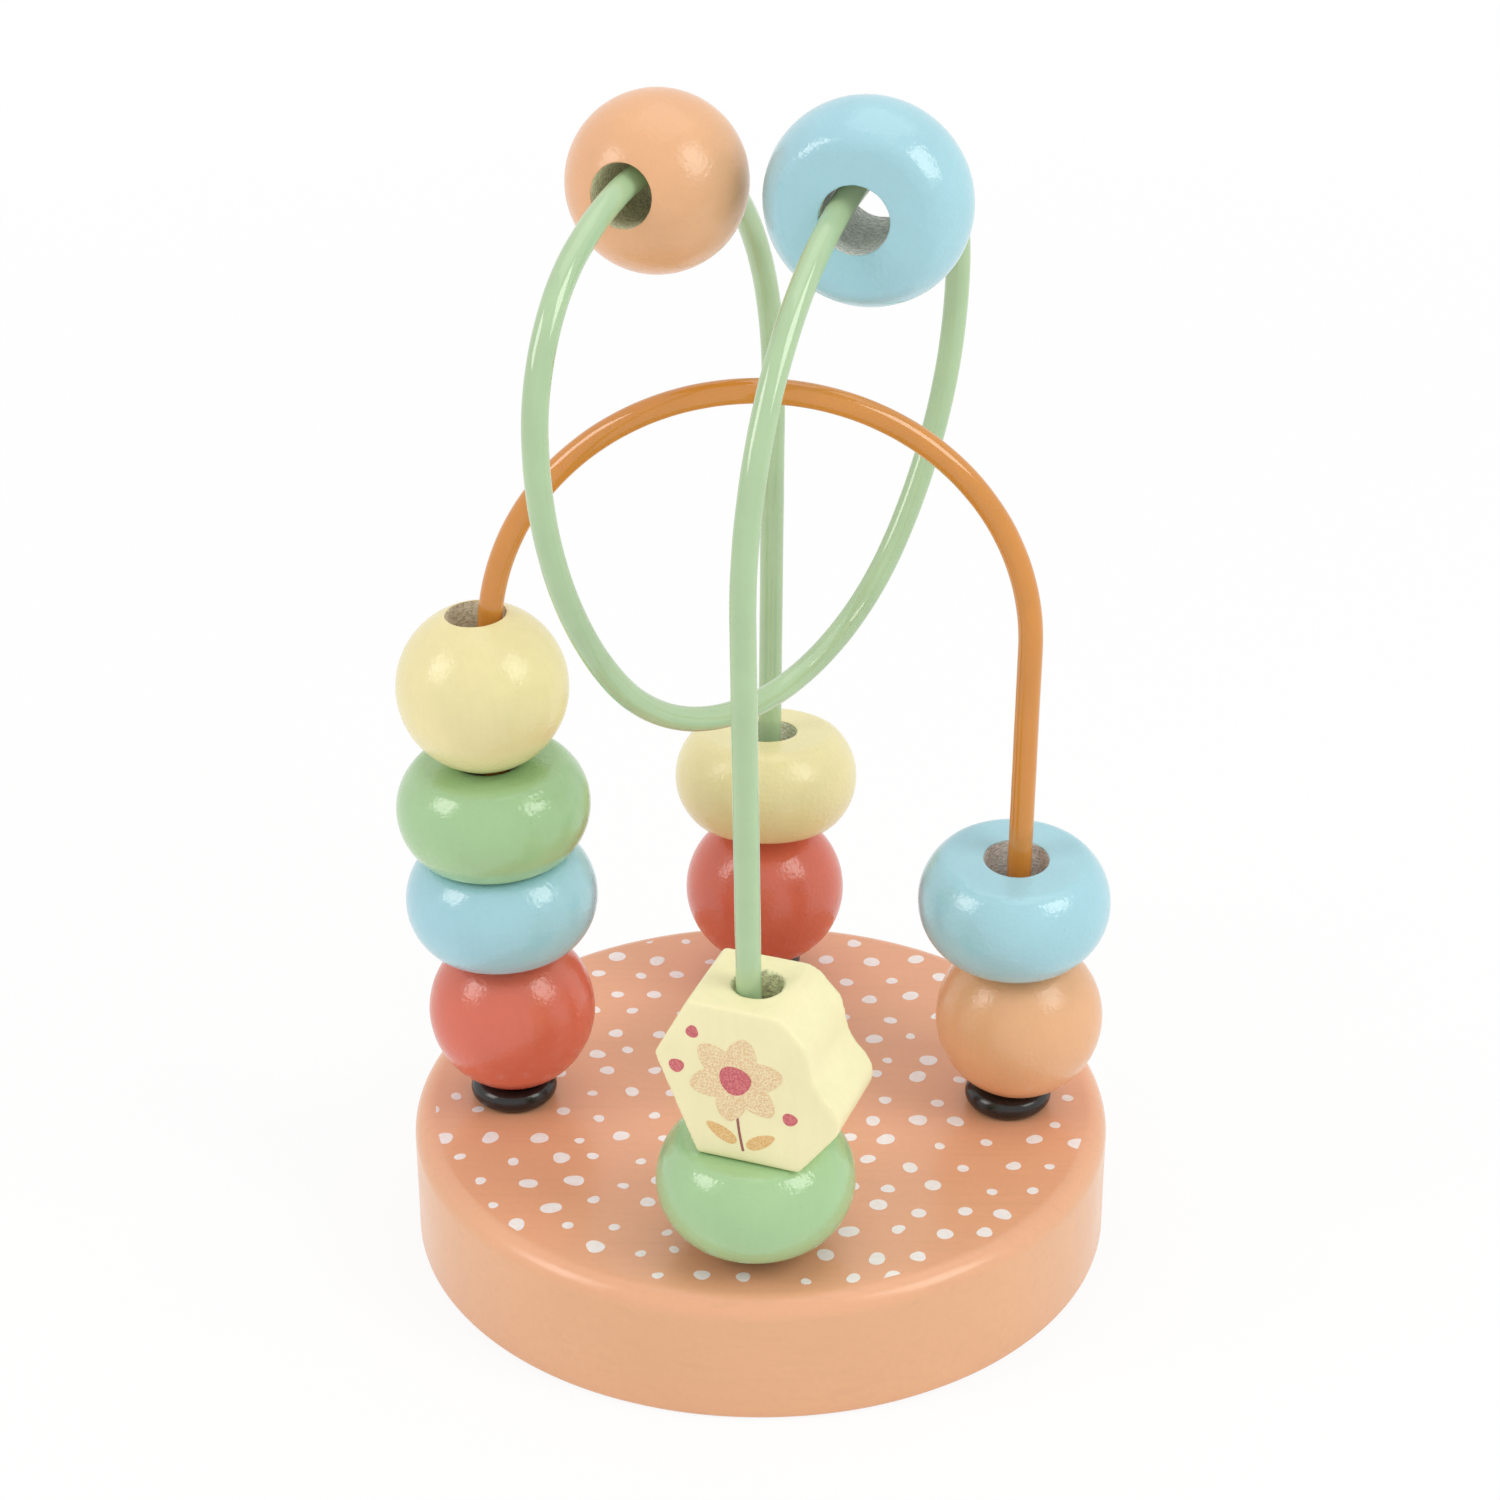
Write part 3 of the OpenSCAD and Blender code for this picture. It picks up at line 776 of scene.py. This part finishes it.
def strip(points, width, low, high):
    """A thin drawn line of ink through points."""
    left, right = [], []
    for i, (x, y) in enumerate(points):
        ax, ay = points[max(i - 1, 0)]
        bx, by = points[min(i + 1, len(points) - 1)]
        d = math.hypot(bx - ax, by - ay)
        nx, ny = -(by - ay) / d * width / 2, (bx - ax) / d * width / 2
        left.append((x + nx, y + ny))
        right.append((x - nx, y - ny))
    n = len(points)
    m = 2 * n
    verts = [(x, y, high) for x, y in left + right] + [(x, y, low) for x, y in left + right]
    faces = []
    for i in range(n - 1):
        faces.append((n + i, n + i + 1, i + 1, i))
        faces.append((m + i, m + i + 1, m + n + i + 1, m + n + i))
        faces.append((i, i + 1, m + i + 1, m + i))
        faces.append((n + i + 1, n + i, m + n + i, m + n + i + 1))
    faces.append((0, m, m + n, n))
    faces.append((n - 1, 2 * n - 1, m + 2 * n - 1, m + n - 1))
    return verts, faces


# The flower printed on the bead: depth of its films, their first height and each layer's rise, then its parts
FILM_LOW, FILM_SKIN, FILM_RISE = -0.12, 0.02, 0.012
FLOWER_U, FLOWER_V, PETAL_OUT, PETALS, PETAL_TURN = -0.6, 13.6, 4.1, 6, 18
STEM_TOP, STEM_LEN, STEM_BEND, STEM_WIDTH, STEM_STEPS = 3.0, 8.6, 0.9, 0.38, 12


def make_print(face):
    """A plain printed flower on the front of the bird-shaped bead, in thin films of ink."""

    def film(name, shapes, ink):
        verts, faces = joined(shapes)
        piece("print_" + name, verts, faces, face, "bird_bead", ink, crease=60)

    def patch(pts, layer):
        return blob(pts, FILM_LOW, FILM_SKIN + FILM_RISE * layer)

    shares = [i / STEM_STEPS for i in range(STEM_STEPS + 1)]
    stem = [(FLOWER_U + STEM_BEND * t * t, FLOWER_V - STEM_TOP - STEM_LEN * t) for t in shares]
    film("stem", [strip(stem, STEM_WIDTH, FILM_LOW, FILM_SKIN + FILM_RISE)], BROWN_INK)
    leaves = [petal(-2.9, 4.5, 2.5, 1.05, 150), petal(2.9, 4.1, 2.4, 1.0, 32)]
    film("leaves", [patch(p, 2) for p in leaves], ORANGE_INK)
    petals = []
    for k in range(PETALS):
        a = PETAL_TURN + 360 * k / PETALS
        cu, cv = FLOWER_U + PETAL_OUT * cosd(a), FLOWER_V + PETAL_OUT * sind(a)
        petals.append(patch(petal(cu, cv, 3.0, 2.25, a), 3 + k % 2))
    film("petals", petals, TAN_INK)
    film("heart", [patch(petal(FLOWER_U, FLOWER_V, 2.35, 2.3, 20), 6)], CRIMSON_INK)
    buds = [petal(-9.3, 14.2, 1.15, 1.05, 30), petal(-6.9, 20.3, 1.0, 0.9, 80), petal(7.3, 8.9, 1.1, 1.0, 10)]
    film("buds", [patch(p, 2) for p in buds], CRIMSON_INK)


# Light, floor and backdrop
AIM = Vector((0, 0, 0.08))


def soft_light(name, toward, far, width, height, watts, tint=(1.0, 1.0, 1.0)):
    """A soft box in metres and watts, far away from AIM in the direction toward."""
    data = bpy.data.lights.new(name, "AREA")
    data.shape, data.size, data.size_y, data.energy = "RECTANGLE", width, height, watts
    data.color = tint
    lamp = bpy.data.objects.new(name, data)
    bpy.context.scene.collection.objects.link(lamp)
    way = Vector(toward).normalized()
    facing = (-way).to_track_quat("-Z", "Y").to_matrix().to_4x4()
    lamp.matrix_world = Matrix.Translation(AIM + way * far) @ facing


# Level of the sky's light on the part, and the floor's radius, sides, drop and tone
FILL = 0.62
FLOOR_R, FLOOR_SIDES, FLOOR_DROP, FLOOR_TONE = 4.0, 64, 0.0001, 0.97
# The floor's share of plain white: the least of it, and how far from the middle it starts and ends to grow to all
WHITE_LEAST, WHITE_NEAR, WHITE_FAR = 0.88, 0.12, 0.6


def make_sky():
    world = bpy.data.worlds.new("studio")
    world.use_nodes = True
    bpy.context.scene.world = world
    p = Nodes(world.node_tree)
    sky = p.tree.nodes["Background"]
    p.put((1, 1, 1, 1), sky.inputs["Color"])
    p.put(p.fit(p.seen_directly(), 0, 1, FILL, 1), sky.inputs["Strength"])


def make_lamps():
    soft_light("right_box", (0.69, -0.35, 0.63), 0.9, 0.44, 0.48, 2.65, (0.98, 1.0, 0.93))
    soft_light("left_box", (-0.78, -0.31, 0.54), 0.9, 0.36, 0.4, 1.95, (1.0, 0.95, 0.93))
    soft_light("top_box", (0.1, 0.15, 1.0), 1.1, 0.9, 0.9, 2.0)


def make_floor():
    mesh = bpy.data.meshes.new("floor")
    turns = [math.tau * i / FLOOR_SIDES for i in range(FLOOR_SIDES)]
    ring = [(FLOOR_R * math.cos(a), FLOOR_R * math.sin(a), -FLOOR_DROP) for a in turns]
    mesh.from_pydata(ring, [], [tuple(range(FLOOR_SIDES))])
    floor = bpy.data.objects.new("floor", mesh)
    bpy.context.scene.collection.objects.link(floor)
    m = bpy.data.materials.new("floor_white")
    m.use_nodes = True
    m.node_tree.nodes.clear()
    p = Nodes(m.node_tree)
    lit = p.node("ShaderNodeBsdfDiffuse", {"Color": (FLOOR_TONE, FLOOR_TONE, FLOOR_TONE, 1)})
    glow = p.node("ShaderNodeEmission", {"Color": (1, 1, 1, 1), "Strength": 1.0})
    spot = p.node("ShaderNodeNewGeometry").outputs["Position"]
    away = p.node("ShaderNodeVectorMath", {0: spot}, operation="LENGTH").outputs["Value"]
    white = p.fit(away, WHITE_NEAR, WHITE_FAR, WHITE_LEAST, 1)
    share = p.math("MULTIPLY", p.seen_directly(), white)
    both = p.node("ShaderNodeMixShader", {0: share, 1: lit.outputs[0], 2: glow.outputs[0]})
    p.node("ShaderNodeOutputMaterial", {"Surface": both.outputs[0]})
    mesh.materials.append(m)


bpy.context.scene.view_settings.view_transform = "Standard"
make_camera()
make_sky()
make_lamps()
make_floor()
make_base()
make_dots()
make_wires()
make_grommets()
for number, (name, kind, place, colour) in enumerate(BEADS):
    bead(name, kind, place, colour, number + 1)
make_bird()
